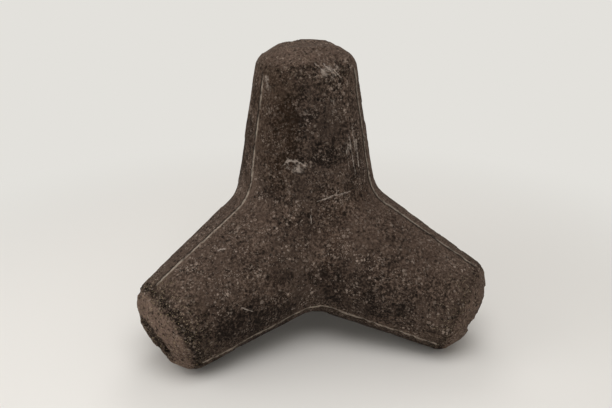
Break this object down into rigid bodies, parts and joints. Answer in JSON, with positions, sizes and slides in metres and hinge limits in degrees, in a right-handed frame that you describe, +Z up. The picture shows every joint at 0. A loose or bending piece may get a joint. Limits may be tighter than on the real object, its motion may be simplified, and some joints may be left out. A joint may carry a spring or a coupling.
{
  "type": "concrete tetrapod",
  "caption": "Cast concrete armour block for sea walls: tapering bevelled legs spread evenly round one centre, standing on its lower legs with one leg upright.",
  "frame": {"origin": "the centre of the block, where the axes of its legs meet", "axes": "+Z up along the upright leg; one lower leg runs towards +Y, the other two towards -Y on the +X and -X sides, so that +X runs across the widest spread"},
  "size_m": [3.5527, 3.2342, 3.0419],
  "materials": {
    "weathered_concrete": "cast concrete darkened by sea water and algae, rough and finely speckled"
  },
  "bodies": {
    "root": {"concrete_tetrapod": "weathered_concrete"}
  },
  "joints": []
}
